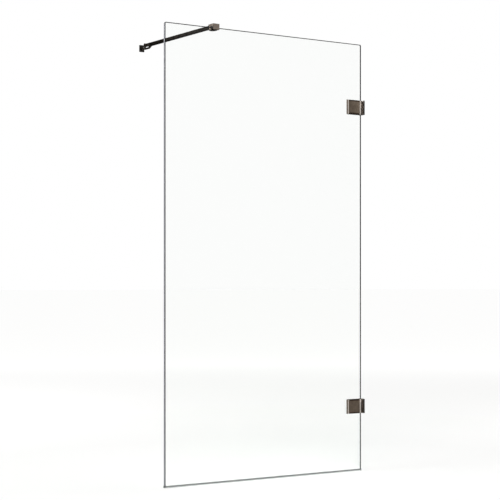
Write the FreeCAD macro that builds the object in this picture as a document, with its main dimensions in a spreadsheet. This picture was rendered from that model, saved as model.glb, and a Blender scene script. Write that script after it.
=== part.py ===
"""Frameless bath screen: a fixed sheet of glass, two wall brackets and a swivelling stabiliser arm.

Frame: the origin is under the middle of the glass, on the rim that the bottom seal rests on. +X runs along
the glass to the wall with the brackets, +Y from the glass to the wall that the arm reaches, and +Z is up.
"""

import FreeCAD, Part
import os
import Sketcher

Vector = FreeCAD.Vector

doc = FreeCAD.newDocument("bath_screen")

# ---------------------------------------------------------------------------------------------------------
# Driving dimensions in millimetres
# ---------------------------------------------------------------------------------------------------------
DIMENSIONS = {
    "glass": {
        "glass_width": 800,
        "glass_top": 1500,
        "glass_thickness": 10,
        "glass_corner": 5,
        "glass_arris": 2,
        "glass_hole": 14,
        "glass_hole_inset": 34,
        "glass_hole_spacing": 26,
    },
    "bottom seal": {
        "seal_base": 2,
        "seal_wall": 1,
        "seal_lip": 6,
    },
    "wall brackets": {
        "upper_bracket_drop": 222.5,
        "lower_bracket_height": 227.5,
        "bracket_tall": 50,
        "bracket_reach": 66.5,
        "edge_gap": 1,
        "wall_leg": 7,
        "wall_leg_proud": 5,
        "bracket_edge_round": 1,
        "rear_leg": 4,
        "rear_leg_reach": 56,
        "front_plate": 4,
        "panel_wide": 49,
        "panel_bevel": 5,
        "panel_rise": 1.5,
        "end_bevel": 4,
        "end_bevel_deep": 2,
        "plate_gap": 0.3,
        "pad": 1,
        "pad_margin": 2,
        "boss": 9,
        "boss_gap": 0.5,
        "bush_gap": 0.1,
        "clamp_screw": 5,
        "clamp_screw_head": 10,
        "clamp_screw_head_deep": 2.5,
        "clamp_screw_reach": 7,
        "wall_hole": 4.5,
        "wall_hole_sink": 9,
        "wall_hole_spacing": 30,
    },
    "fits": {
        "thread_gap": 0.05,
        "swivel_gap": 0.05,
        "screw_hole_gap": 0.25,
        "recess_gap": 0.2,
        "screw_sink": 0.5,
        "cut_past": 1,
    },
    "arm clamp": {
        "arm_inset": 193,
        "bar_rise": 5,
        "clamp_wide": 24.5,
        "clamp_grip": 7.5,
        "clamp_rise": 12.5,
        "clamp_rear": 30,
        "clamp_jaw": 3,
        "clamp_liner": 1,
        "clamp_liner_top": 5,
        "pressure_plate": 1.5,
        "pressure_plate_margin": 3,
        "clamp_edge_round": 0.8,
        "clamp_cap": 1,
        "grub_screw": 4,
        "grub_screw_long": 16,
        "grub_screw_spacing": 15,
    },
    "arm": {
        "swivel_offset": 22,
        "swivel_screw": 5,
        "swivel_washer": 0.8,
        "swivel_washer_wide": 11,
        "tongue": 6,
        "tongue_wide": 12,
        "tongue_reach": 12,
        "collar": 3,
        "bar_diameter": 14,
        "bar_wall": 1.5,
        "spigot_long": 18,
        "lock_screw": 4,
        "lock_screw_cover": 0.95,
    },
    "wall end of the arm": {
        "wall_distance": 492,
        "wall_pivot_inset": 25,
        "fork_wide": 9,
        "fork_top": 6,
        "fork_slot_top": 3.5,
        "fork_slot": 5.5,
        "fork_slot_deep": 36,
        "fork_slot_slant": 3,
        "fork_root": 12,
        "fork_lower_prong": 4,
        "fork_taper": 13,
        "fork_washer": 0.75,
        "pivot_screw": 4,
        "pivot_head": 7,
        "pivot_head_tall": 2.8,
        "flange_wide": 18,
        "flange_tall": 24,
        "flange_deep": 6,
        "flange_face": 2,
        "flange_edge_round": 0.8,
        "base_wide": 14,
        "base_tall": 18,
        "base_hole": 4.2,
        "base_hole_sink": 7.5,
        "base_hole_spacing": 9,
        "flange_grub": 3,
    },
    "socket recesses": {
        "socket_small": 1.5,
        "socket_medium": 2.5,
        "socket_large": 3,
        "socket_deep": 1.8,
    },
}

sheet = doc.addObject("Spreadsheet::Sheet", "sizes")
row = 1
for section, values in DIMENSIONS.items():
    sheet.set(f"A{row}", section)
    row += 1
    for alias, value in values.items():
        sheet.set(f"A{row}", alias.replace("_", " "))
        sheet.set(f"B{row}", str(value))
        sheet.setAlias(f"B{row}", alias)
        row += 1
doc.recompute()

# ---------------------------------------------------------------------------------------------------------
# Places that several pieces share, as expressions on the sheet
# ---------------------------------------------------------------------------------------------------------
ZERO = "0"
GLASS_FACE = "sizes.glass_thickness / 2"
GLASS_EDGE = "sizes.glass_width / 2"
PAD_FACE = "(sizes.glass_thickness / 2 + sizes.pad)"

# Bracket pieces are drawn from the glass edge (x) and from the middle of their own height (z).
BRACKET_END = "-sizes.bracket_reach"
WALL_LEG_FACE = "sizes.edge_gap"
WALL_FACE = "(sizes.edge_gap + sizes.wall_leg)"
REAR_LEG_END = "-sizes.rear_leg_reach"
REAR_LEG_FACE = f"({PAD_FACE} + sizes.rear_leg)"
PLATE_FACE = f"({PAD_FACE} + sizes.front_plate)"
WALL_LEG_END = f"({PLATE_FACE} + sizes.wall_leg_proud)"
BRACKET_TOP = "sizes.bracket_tall / 2"
HOLE_X = "-sizes.glass_hole_inset"
HOLE_HEIGHTS = ("-sizes.glass_hole_spacing / 2", "sizes.glass_hole_spacing / 2")
WALL_HOLE_HEIGHTS = ("-sizes.wall_hole_spacing / 2", "sizes.wall_hole_spacing / 2")
BRACKETS = {"upper": "(sizes.glass_top - sizes.upper_bracket_drop)", "lower": "sizes.lower_bracket_height"}

# Arm pieces are drawn from the middle of the bar, in x and in z.
ARM_X = "sizes.arm_inset - sizes.glass_width / 2"
ARM_Z = "sizes.glass_top + sizes.bar_rise"
CLAMP_BOTTOM = "(-sizes.bar_rise - sizes.clamp_grip)"
CLAMP_TOP = "(sizes.clamp_rise - sizes.bar_rise)"
LINER_FACE = "(sizes.glass_thickness / 2 + sizes.clamp_liner)"
LINER_TOP = "(sizes.clamp_liner_top - sizes.bar_rise)"
JAW_SLOT_REAR = f"({LINER_FACE} + sizes.pressure_plate)"
TONGUE_TOP = "sizes.tongue / 2"
TONGUE_SLOT_TOP = "(sizes.tongue / 2 + sizes.swivel_washer + sizes.swivel_gap)"
GRUB_HEIGHT = "(-sizes.bar_rise - sizes.clamp_grip / 2)"
SHOULDER = "(sizes.swivel_offset + sizes.tongue_reach)"
BAR_START = f"({SHOULDER} + sizes.collar)"
WALL_PIVOT = "(sizes.wall_distance - sizes.wall_pivot_inset)"
FORK_SLOT_END = f"({WALL_PIVOT} - sizes.fork_slot_deep)"
BAR_END = f"({FORK_SLOT_END} - sizes.fork_root)"
SPIGOT_RADIUS = "(sizes.bar_diameter / 2 - sizes.bar_wall - sizes.thread_gap)"
LOCK_TIP = f"({SPIGOT_RADIUS} - sizes.lock_screw_cover)"
LOCK_PLACES = (f"{BAR_START} + sizes.spigot_long / 2", f"{BAR_END} - sizes.spigot_long / 2")
FORK_SLOT_BOTTOM = "(-sizes.fork_slot_top - sizes.fork_slot)"
FORK_BOTTOM = f"({FORK_SLOT_BOTTOM} - sizes.fork_lower_prong)"
EAR_HEIGHT = "(-sizes.fork_slot_top - sizes.fork_slot / 2)"
EAR_HALF = "(sizes.fork_slot / 2 - sizes.fork_washer - sizes.swivel_gap)"
FLANGE_FACE = "(sizes.wall_distance - sizes.flange_deep)"
RECESS_FLOOR = f"({FLANGE_FACE} + sizes.flange_face)"
BASE_FACE = f"({RECESS_FLOOR} + sizes.swivel_gap)"
SWIVEL_BORE = "(sizes.swivel_screw / 2 + sizes.swivel_gap)"
PIVOT_BORE = "(sizes.pivot_screw / 2 + sizes.swivel_gap)"

# ---------------------------------------------------------------------------------------------------------
# Small tools: sketches, pads and cuts in a body, and primitives that stand along an axis
# ---------------------------------------------------------------------------------------------------------
TURNS = {
    "x": FreeCAD.Rotation(Vector(0, 1, 0), 90),
    "y": FreeCAD.Rotation(Vector(1, 0, 0), -90),
    "z": FreeCAD.Rotation(),
}
PLANES = {"x": "YZ_Plane", "y": "XZ_Plane", "z": "XY_Plane"}
SAME_PLACE = 1e-6
SAME_DIRECTION = 0.999
parts = []


def station(piece, x, y, z):
    """Place a finished sub-part at a station given by three expressions."""
    for axis, value in zip("xyz", (x, y, z)):
        piece.setExpression(f"Placement.Base.{axis}", value)


def at_glass(piece, label):
    """Finish a piece that is drawn from the middle of the rim."""
    piece.Label = label
    station(piece, ZERO, ZERO, ZERO)
    parts.append(piece)


def at_bracket(piece, label, height):
    """Finish a bracket piece at the glass edge, at its bracket's height."""
    piece.Label = label
    station(piece, GLASS_EDGE, ZERO, height)
    parts.append(piece)


def at_arm(piece, label):
    """Finish an arm piece on the bar's centre line."""
    piece.Label = label
    station(piece, ARM_X, ZERO, ARM_Z)
    parts.append(piece)


def sketch_on(body, axis, name, offset):
    """Attach a sketch square to an axis, offset along it. The y plane faces -Y, so its offset is negated."""
    sketch = body.newObject("Sketcher::SketchObject", name)
    role = PLANES[axis]
    plane = [feature for feature in body.Origin.OriginFeatures if feature.Role == role][0]
    sketch.AttachmentSupport = (plane, [""])
    sketch.MapMode = "FlatFace"
    sign = "-" if axis == "y" else ""
    sketch.setExpression("AttachmentOffset.Base.z", f"{sign}({offset})")
    return sketch


def fix_point(sketch, element, point, place):
    """Tie a point of a sketch element to the sketch origin by two expressions."""
    for kind, value in zip(("DistanceX", "DistanceY"), place):
        start = float(sketch.evalExpression(value))
        index = sketch.addConstraint(Sketcher.Constraint(kind, -1, 1, element, point, start))
        sketch.setExpression(f"Constraints[{index}]", value)


def draw_outline(sketch, corners):
    """Draw a closed outline of straight lines through corners given as expressions."""
    points = [Vector(*(float(sketch.evalExpression(value)) for value in corner), 0) for corner in corners]
    count = len(points)
    for index in range(count):
        sketch.addGeometry(Part.LineSegment(points[index], points[(index + 1) % count]), False)
    for index in range(count):
        sketch.addConstraint(Sketcher.Constraint("Coincident", index, 2, (index + 1) % count, 1))
    for index, corner in enumerate(corners):
        fix_point(sketch, index, 1, corner)


def draw_rectangle(sketch, across, up):
    """Draw a rectangle between two pairs of expressions."""
    (left, right), (low, high) = across, up
    draw_outline(sketch, [(left, low), (right, low), (right, high), (left, high)])


def draw_circles(sketch, centres, radius):
    """Draw equal circles round centres given as expressions."""
    for centre in centres:
        middle = Vector(*(float(sketch.evalExpression(value)) for value in centre), 0)
        size = float(sketch.evalExpression(radius))
        element = sketch.addGeometry(Part.Circle(middle, Vector(0, 0, 1), size), False)
        fix_point(sketch, element, 3, centre)
        index = sketch.addConstraint(Sketcher.Constraint("Radius", element, size))
        sketch.setExpression(f"Constraints[{index}]", radius)


def extrude(body, kind, axis, name, low, high, draw, *shape):
    """Pad or pocket a drawing along an axis, between two expressions."""
    start = high if axis == "y" else low
    sketch = sketch_on(body, axis, f"{name}_sketch", start)
    draw(sketch, *shape)
    doc.recompute()
    before = body.Shape.Volume if body.Tip else 0
    feature = body.newObject(f"PartDesign::{kind}", name)
    feature.Profile = sketch
    feature.Reversed = kind == "Pocket"
    feature.setExpression("Length", f"({high}) - ({low})")
    doc.recompute()
    if kind == "Pocket" and not feature.Shape.Volume < before:
        raise ValueError(f"{name} cuts nothing")
    sketch.Visibility = False
    return feature


def pad(body, axis, name, low, high, draw, *shape):
    """Add material to a body."""
    return extrude(body, "Pad", axis, name, low, high, draw, *shape)


def pocket(body, axis, name, low, high, draw, *shape):
    """Take material from a body."""
    return extrude(body, "Pocket", axis, name, low, high, draw, *shape)


def edges_where(feature, test):
    """Name the edges of a feature whose two end points both pass a test."""
    names = []
    for index, edge in enumerate(feature.Shape.Edges):
        if len(edge.Vertexes) == 2 and all(test(vertex.Point) for vertex in edge.Vertexes):
            names.append(f"Edge{index + 1}")
    return names


def edges_along(feature, direction, test):
    """Name the straight edges of a feature that run along a direction and pass a test at both ends."""
    names = []
    for index, edge in enumerate(feature.Shape.Edges):
        if len(edge.Vertexes) != 2 or not isinstance(edge.Curve, Part.Line):
            continue
        along = abs(edge.Curve.Direction.dot(direction)) > SAME_DIRECTION
        if along and all(test(vertex.Point) for vertex in edge.Vertexes):
            names.append(f"Edge{index + 1}")
    return names


def soften(body, kind, name, feature, edges, size):
    """Round or chamfer named edges of a body's last feature."""
    finish = body.newObject(f"PartDesign::{kind}", name)
    finish.Base = (feature, edges)
    finish.setExpression("Radius" if kind == "Fillet" else "Size", size)
    doc.recompute()
    return finish


def new_body(name):
    """Start an empty body."""
    return doc.addObject("PartDesign::Body", name)


def read(expression):
    """Value of an expression in millimetres."""
    return float(sheet.evalExpression(expression))


def block(name, x, y, z):
    """Box between three pairs of expressions."""
    piece = doc.addObject("Part::Box", name)
    for size, axis, (low, high) in zip(("Length", "Width", "Height"), "xyz", (x, y, z)):
        piece.setExpression(size, f"({high}) - ({low})")
        piece.setExpression(f"Placement.Base.{axis}", low)
    return piece


def stand(piece, axis, centre, low):
    """Turn a round primitive to an axis and put its lower end in place."""
    piece.Placement = FreeCAD.Placement(Vector(), TURNS[axis])
    others = [name for name in "xyz" if name != axis]
    for name, value in zip(others, centre):
        piece.setExpression(f"Placement.Base.{name}", value)
    piece.setExpression(f"Placement.Base.{axis}", low)
    return piece


def rod(name, axis, centre, low, high, radius):
    """Cylinder along an axis between two expressions."""
    piece = doc.addObject("Part::Cylinder", name)
    piece.setExpression("Radius", radius)
    piece.setExpression("Height", f"({high}) - ({low})")
    return stand(piece, axis, centre, low)


def cone(name, axis, centre, low, high, low_radius, high_radius):
    """Cone along an axis between two expressions."""
    piece = doc.addObject("Part::Cone", name)
    piece.setExpression("Radius1", low_radius)
    piece.setExpression("Radius2", high_radius)
    piece.setExpression("Height", f"({high}) - ({low})")
    return stand(piece, axis, centre, low)


def hexagon(name, axis, centre, low, high, across_flats):
    """Six-sided prism for a socket recess."""
    piece = doc.addObject("Part::Prism", name)
    piece.Polygon = 6
    piece.setExpression("Circumradius", f"({across_flats}) / sqrt(3)")
    piece.setExpression("Height", f"({high}) - ({low})")
    return stand(piece, axis, centre, low)


def cut(name, base, *tools):
    """Take tools from a base."""
    piece = doc.addObject("Part::Cut", name)
    piece.Base = base
    piece.Tool = tools[0] if len(tools) == 1 else fuse(f"{name}_tools", *tools)
    return piece


def fuse(name, *shapes):
    """Join shapes into one solid."""
    piece = doc.addObject("Part::MultiFuse", name)
    piece.Shapes = list(shapes)
    return piece


def group(name, *pieces):
    """Keep identical loose pieces together as separate solids."""
    piece = doc.addObject("Part::Compound", name)
    piece.Links = list(pieces)
    return piece


def grub_screw(name, axis, centre, low, high, radius, socket, socket_high):
    """Headless screw with a hexagon socket at its high or low end."""
    body = rod(f"{name}_shank", axis, centre, low, high, radius)
    if socket_high:
        recess = hexagon(f"{name}_socket", axis, centre, f"{high} - sizes.socket_deep", high, socket)
    else:
        recess = hexagon(f"{name}_socket", axis, centre, low, f"{low} + sizes.socket_deep", socket)
    return cut(name, body, recess)


# ---------------------------------------------------------------------------------------------------------
# Glass and bottom seal
# ---------------------------------------------------------------------------------------------------------
def make_glass_panel():
    """Sheet of toughened glass with four fixing holes, rounded corners and ground arrises."""
    body = new_body("glass_panel")
    half = GLASS_EDGE
    sheet_pad = pad(body, "y", "glass_sheet", f"-{GLASS_FACE}", GLASS_FACE,
                    draw_rectangle, (f"-{half}", half), ("sizes.seal_base", "sizes.glass_top"))
    corners = edges_along(sheet_pad, Vector(0, 1, 0), lambda point: True)
    rounded = soften(body, "Fillet", "glass_corners", sheet_pad, corners, "sizes.glass_corner")
    face = read(GLASS_FACE)
    rims = edges_where(rounded, lambda point: abs(abs(point.y) - face) < SAME_PLACE)
    soften(body, "Chamfer", "glass_arrises", rounded, rims, "sizes.glass_arris")
    holes = [(f"{half} - sizes.glass_hole_inset", f"{bracket} + {height}")
             for bracket in BRACKETS.values() for height in HOLE_HEIGHTS]
    pocket(body, "y", "glass_holes", f"-{GLASS_FACE}", GLASS_FACE,
           draw_circles, holes, "sizes.glass_hole / 2")
    at_glass(body, "glass_panel")


def make_bottom_seal():
    """Clear channel strip under the glass."""
    body = new_body("bottom_seal")
    outer = f"({GLASS_FACE} + sizes.seal_wall)"
    corners = [
        (f"-{outer}", ZERO),
        (outer, ZERO),
        (outer, "sizes.seal_lip"),
        (GLASS_FACE, "sizes.seal_lip"),
        (GLASS_FACE, "sizes.seal_base"),
        (f"-{GLASS_FACE}", "sizes.seal_base"),
        (f"-{GLASS_FACE}", "sizes.seal_lip"),
        (f"-{outer}", "sizes.seal_lip"),
    ]
    pad(body, "x", "seal_channel", f"-{GLASS_EDGE}", GLASS_EDGE, draw_outline, corners)
    at_glass(body, "bottom_seal")


# ---------------------------------------------------------------------------------------------------------
# Wall brackets
# ---------------------------------------------------------------------------------------------------------
def make_wall_bracket(prefix, height):
    """Rear clamp leg and wall leg in one piece, with sunk holes for two clamp and two wall screws."""
    body = new_body(f"{prefix}_bracket_body")
    outline = [
        (WALL_LEG_FACE, f"-{WALL_LEG_END}"),
        (WALL_FACE, f"-{WALL_LEG_END}"),
        (WALL_FACE, WALL_LEG_END),
        (WALL_LEG_FACE, WALL_LEG_END),
        (WALL_LEG_FACE, REAR_LEG_FACE),
        (REAR_LEG_END, REAR_LEG_FACE),
        (REAR_LEG_END, PAD_FACE),
        (WALL_LEG_FACE, PAD_FACE),
    ]
    legs = pad(body, "z", f"{prefix}_legs", f"-{BRACKET_TOP}", BRACKET_TOP, draw_outline, outline)
    end = read(WALL_LEG_END)
    rounds = edges_along(legs, Vector(0, 0, 1), lambda point: abs(abs(point.y) - end) < SAME_PLACE)
    soften(body, "Fillet", f"{prefix}_leg_rounds", legs, rounds, "sizes.bracket_edge_round")
    clamp_centres = [(HOLE_X, place) for place in HOLE_HEIGHTS]
    pocket(body, "y", f"{prefix}_clamp_holes", PAD_FACE, REAR_LEG_FACE,
           draw_circles, clamp_centres, "sizes.clamp_screw / 2 + sizes.screw_hole_gap")
    wall_centres = [(ZERO, place) for place in WALL_HOLE_HEIGHTS]
    pocket(body, "x", f"{prefix}_wall_holes", WALL_LEG_FACE, WALL_FACE,
           draw_circles, wall_centres, "sizes.wall_hole / 2")
    sinks = []
    for index, place in enumerate(HOLE_HEIGHTS):
        sinks.append(cone(f"{prefix}_clamp_sink_{index}", "y", (HOLE_X, place),
                          f"{REAR_LEG_FACE} - sizes.clamp_screw_head_deep - sizes.thread_gap", REAR_LEG_FACE,
                          "sizes.clamp_screw / 2", "sizes.clamp_screw_head / 2 + sizes.thread_gap"))
    for index, place in enumerate(WALL_HOLE_HEIGHTS):
        sinks.append(cone(f"{prefix}_wall_sink_{index}", "x", (ZERO, place),
                          WALL_LEG_FACE, f"{WALL_LEG_FACE} + sizes.wall_hole_sink / 2 - sizes.wall_hole / 2",
                          "sizes.wall_hole_sink / 2", "sizes.wall_hole / 2"))
    at_bracket(cut(f"{prefix}_wall_bracket", body, *sinks), f"{prefix}_wall_bracket", height)


def make_front_plate(prefix, height):
    """Outer plate with bevelled ends and a raised panel, over two threaded bosses through the glass."""
    plate_end = f"({WALL_LEG_FACE} - sizes.plate_gap)"
    shoulder = f"({PLATE_FACE} - sizes.panel_rise)"
    end_face = f"({shoulder} - sizes.end_bevel_deep)"
    body = new_body(f"{prefix}_front_plate")
    back = [
        (BRACKET_END, f"-{PAD_FACE}"),
        (BRACKET_END, f"-{end_face}"),
        (f"{BRACKET_END} + sizes.end_bevel", f"-{shoulder}"),
        (f"{plate_end} - sizes.end_bevel", f"-{shoulder}"),
        (plate_end, f"-{end_face}"),
        (plate_end, f"-{PAD_FACE}"),
    ]
    pad(body, "z", f"{prefix}_plate_back", f"-{BRACKET_TOP}", BRACKET_TOP, draw_outline, back)
    levels = {"foot": (shoulder, ZERO), "crown": (PLATE_FACE, "sizes.panel_bevel")}
    outlines = []
    for name, (level, inset) in levels.items():
        outline = sketch_on(body, "y", f"{prefix}_panel_{name}", f"-{level}")
        half = f"(sizes.panel_wide / 2 - {inset})"
        top = f"({BRACKET_TOP} - {inset})"
        draw_rectangle(outline, (f"{HOLE_X} - {half}", f"{HOLE_X} + {half}"), (f"-{top}", top))
        outlines.append(outline)
    panel = body.newObject("PartDesign::AdditiveLoft", f"{prefix}_panel")
    panel.Profile = outlines[0]
    panel.Sections = outlines[1:]
    panel.Ruled = True
    doc.recompute()
    centres = [(HOLE_X, place) for place in HOLE_HEIGHTS]
    pad(body, "y", f"{prefix}_bosses", f"-{PAD_FACE}", f"{PAD_FACE} - sizes.boss_gap",
        draw_circles, centres, "sizes.boss / 2")
    thread_end = f"{PAD_FACE} - sizes.clamp_screw_reach - sizes.screw_sink"
    pocket(body, "y", f"{prefix}_boss_threads", thread_end, f"{PAD_FACE} - sizes.boss_gap",
           draw_circles, centres, "sizes.clamp_screw / 2 + sizes.thread_gap")
    at_bracket(body, f"{prefix}_front_plate", height)


def make_pads(prefix, height):
    """Clear pads that keep the metal off both faces of the glass."""
    places = {
        "front_pad": (BRACKET_END, f"-{PAD_FACE}", f"-{GLASS_FACE}"),
        "rear_pad": (REAR_LEG_END, GLASS_FACE, PAD_FACE),
    }
    top = f"({BRACKET_TOP} - sizes.pad_margin)"
    for name, (end, front, rear) in places.items():
        slab = block(f"{prefix}_{name}_slab", (f"{end} + sizes.pad_margin", "-sizes.pad_margin"),
                     (front, rear), (f"-{top}", top))
        holes = [rod(f"{prefix}_{name}_hole_{index}", "y", (HOLE_X, place), front, rear,
                     "sizes.glass_hole / 2")
                 for index, place in enumerate(HOLE_HEIGHTS)]
        at_bracket(cut(f"{prefix}_{name}", slab, *holes), f"{prefix}_{name}", height)


def make_glass_bushes(prefix, height):
    """Nylon sleeves between the bosses and the holes in the glass."""
    sleeves = []
    for index, place in enumerate(HOLE_HEIGHTS):
        outer = rod(f"{prefix}_bush_outer_{index}", "y", (HOLE_X, place), f"-{PAD_FACE}", PAD_FACE,
                    "sizes.glass_hole / 2 - sizes.bush_gap")
        bore = rod(f"{prefix}_bush_bore_{index}", "y", (HOLE_X, place), f"-{PAD_FACE}", PAD_FACE,
                   "sizes.boss / 2 + sizes.bush_gap")
        sleeves.append(cut(f"{prefix}_bush_{index}", outer, bore))
    at_bracket(group(f"{prefix}_glass_bushes", *sleeves), f"{prefix}_glass_bushes", height)


def make_clamp_screws(prefix, height):
    """Countersunk socket screws that pull the front plate to the rear leg."""
    screws = []
    head_root = f"({REAR_LEG_FACE} - sizes.clamp_screw_head_deep)"
    for index, place in enumerate(HOLE_HEIGHTS):
        centre = (HOLE_X, place)
        name = f"{prefix}_clamp_screw_{index}"
        shank = rod(f"{name}_shank", "y", centre, f"{PAD_FACE} - sizes.clamp_screw_reach", head_root,
                    "sizes.clamp_screw / 2")
        head = cone(f"{name}_head", "y", centre, head_root, REAR_LEG_FACE,
                    "sizes.clamp_screw / 2", "sizes.clamp_screw_head / 2")
        recess = hexagon(f"{name}_socket", "y", centre, f"{REAR_LEG_FACE} - sizes.socket_deep",
                         REAR_LEG_FACE, "sizes.socket_large")
        screws.append(cut(name, fuse(f"{name}_blank", shank, head), recess))
    at_bracket(group(f"{prefix}_clamp_screws", *screws), f"{prefix}_clamp_screws", height)


# ---------------------------------------------------------------------------------------------------------
# Glass end of the arm
# ---------------------------------------------------------------------------------------------------------
def make_arm_clamp():
    """Block that grips the top edge of the glass, with a round back and a level slot for the tongue."""
    body = new_body("arm_clamp_body")
    half = "sizes.clamp_wide / 2"
    round_centre = f"(sizes.clamp_rear - {half})"
    front = f"-({LINER_FACE} + sizes.clamp_jaw)"
    pad(body, "z", "clamp_block", CLAMP_BOTTOM, CLAMP_TOP,
        draw_rectangle, (f"-{half}", half), (front, round_centre))
    back = pad(body, "z", "clamp_round_back", CLAMP_BOTTOM, CLAMP_TOP,
               draw_circles, [(ZERO, round_centre)], half)
    levels = (read(CLAMP_BOTTOM), read(CLAMP_TOP))
    rims = edges_where(back, lambda point: min(abs(point.z - level) for level in levels) < SAME_PLACE)
    soften(body, "Fillet", "clamp_rims", back, rims, "sizes.clamp_edge_round")
    beyond = f"{half} + sizes.cut_past"
    pocket(body, "x", "glass_slot", f"-({beyond})", beyond,
           draw_rectangle, (f"-{LINER_FACE}", JAW_SLOT_REAR),
           (f"{CLAMP_BOTTOM} - sizes.cut_past", LINER_TOP))
    slot_front = "(sizes.swivel_offset - sizes.tongue_wide / 2 - sizes.screw_hole_gap)"
    pocket(body, "x", "tongue_slot", f"-({beyond})", beyond,
           draw_rectangle, (slot_front, "sizes.clamp_rear + sizes.cut_past"),
           (f"-{TONGUE_SLOT_TOP}", TONGUE_SLOT_TOP))
    pocket(body, "z", "swivel_hole", CLAMP_BOTTOM, f"{CLAMP_TOP} - sizes.clamp_cap",
           draw_circles, [(ZERO, "sizes.swivel_offset")], "sizes.swivel_screw / 2 + sizes.thread_gap")
    grubs = [(f"{side} * sizes.grub_screw_spacing / 2", GRUB_HEIGHT) for side in (-1, 1)]
    pocket(body, "y", "grub_holes", JAW_SLOT_REAR, "sizes.clamp_rear + sizes.cut_past",
           draw_circles, grubs, "sizes.grub_screw / 2 + sizes.thread_gap")
    at_arm(body, "arm_clamp")


def make_clamp_liner():
    """Soft channel between the clamp's jaws and the glass."""
    body = new_body("arm_clamp_liner")
    end = "(sizes.clamp_wide / 2 - sizes.screw_sink)"
    corners = [
        (f"-{LINER_FACE}", CLAMP_BOTTOM),
        (f"-{GLASS_FACE}", CLAMP_BOTTOM),
        (f"-{GLASS_FACE}", "-sizes.bar_rise"),
        (GLASS_FACE, "-sizes.bar_rise"),
        (GLASS_FACE, CLAMP_BOTTOM),
        (LINER_FACE, CLAMP_BOTTOM),
        (LINER_FACE, LINER_TOP),
        (f"-{LINER_FACE}", LINER_TOP),
    ]
    pad(body, "x", "liner_channel", f"-{end}", end, draw_outline, corners)
    at_arm(body, "arm_clamp_liner")


def make_clamp_fasteners():
    """Pressure plate and the two grub screws that push it against the glass."""
    end = "(sizes.clamp_wide / 2 - sizes.pressure_plate_margin)"
    plate = new_body("clamp_pressure_plate")
    pad(plate, "y", "pressure_slab", LINER_FACE, JAW_SLOT_REAR, draw_rectangle, (f"-{end}", end),
        (f"{CLAMP_BOTTOM} + sizes.screw_sink", "-sizes.bar_rise - sizes.screw_sink"))
    at_arm(plate, "clamp_pressure_plate")
    places = [(f"{side} * sizes.grub_screw_spacing / 2", GRUB_HEIGHT) for side in (-1, 1)]
    screws = [grub_screw(f"clamp_grub_screw_{index}", "y", place, JAW_SLOT_REAR,
                         f"{JAW_SLOT_REAR} + sizes.grub_screw_long", "sizes.grub_screw / 2",
                         "sizes.socket_medium", True)
              for index, place in enumerate(places)]
    at_arm(group("clamp_grub_screws", *screws), "clamp_grub_screws")


def make_swivel():
    """Upright screw that the tongue turns on, and the nylon washers above and below the tongue."""
    centre = (ZERO, "sizes.swivel_offset")
    screw = grub_screw("swivel_screw", "z", centre, f"{CLAMP_BOTTOM} + sizes.screw_sink",
                       f"{CLAMP_TOP} - sizes.clamp_cap - sizes.screw_sink", "sizes.swivel_screw / 2",
                       "sizes.socket_medium", False)
    at_arm(screw, "swivel_screw")
    washers = washer_pair("swivel_washer", centre, ZERO, f"{TONGUE_TOP} + sizes.swivel_gap",
                          "sizes.swivel_washer", "sizes.swivel_washer_wide / 2", SWIVEL_BORE)
    at_arm(washers, "swivel_washers")


def washer_pair(name, centre, middle, inner, thickness, radius, shaft_bore):
    """Two washers, the same distance above and below a middle height, loose round a shaft's bore."""
    rings = []
    for index, (low, high) in enumerate([(f"{middle} + {inner}", f"{middle} + {inner} + {thickness}"),
                                         (f"{middle} - {inner} - {thickness}", f"{middle} - ({inner})")]):
        disc = rod(f"{name}_disc_{index}", "z", centre, low, high, radius)
        bore = rod(f"{name}_bore_{index}", "z", centre, low, high, f"{shaft_bore} + sizes.swivel_gap")
        rings.append(cut(f"{name}_{index}", disc, bore))
    return group(f"{name}s", *rings)


# ---------------------------------------------------------------------------------------------------------
# Arm
# ---------------------------------------------------------------------------------------------------------
def make_arm_tongue():
    """Flat tongue with a round eye, a collar as thick as the bar and a spigot inside it."""
    body = new_body("arm_tongue")
    half = "sizes.tongue_wide / 2"
    pad(body, "z", "tongue_flat", f"-{TONGUE_TOP}", TONGUE_TOP,
        draw_rectangle, (f"-{half}", half), ("sizes.swivel_offset", SHOULDER))
    pad(body, "z", "tongue_eye", f"-{TONGUE_TOP}", TONGUE_TOP,
        draw_circles, [(ZERO, "sizes.swivel_offset")], half)
    pad(body, "y", "tongue_collar", SHOULDER, BAR_START,
        draw_circles, [(ZERO, ZERO)], "sizes.bar_diameter / 2")
    pad(body, "y", "tongue_spigot", BAR_START, f"{BAR_START} + sizes.spigot_long",
        draw_circles, [(ZERO, ZERO)], SPIGOT_RADIUS)
    pocket(body, "z", "tongue_bore", f"-{TONGUE_TOP}", TONGUE_TOP,
           draw_circles, [(ZERO, "sizes.swivel_offset")], SWIVEL_BORE)
    pocket(body, "z", "tongue_lock_hole", "-sizes.bar_diameter / 2", "sizes.bar_diameter / 2",
           draw_circles, [(ZERO, LOCK_PLACES[0])], "sizes.lock_screw / 2 + sizes.thread_gap")
    at_arm(body, "arm_tongue")


def make_stabiliser_bar():
    """Round tube with a hole underneath near each end for the lock screws."""
    body = new_body("stabiliser_bar")
    pad(body, "y", "bar_tube", BAR_START, BAR_END, draw_circles, [(ZERO, ZERO)], "sizes.bar_diameter / 2")
    pocket(body, "y", "bar_bore", BAR_START, BAR_END,
           draw_circles, [(ZERO, ZERO)], "sizes.bar_diameter / 2 - sizes.bar_wall")
    pocket(body, "z", "bar_lock_holes", "-sizes.bar_diameter / 2 - sizes.cut_past", ZERO,
           draw_circles, [(ZERO, place) for place in LOCK_PLACES], "sizes.lock_screw / 2 + sizes.thread_gap")
    at_arm(body, "stabiliser_bar")


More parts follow.
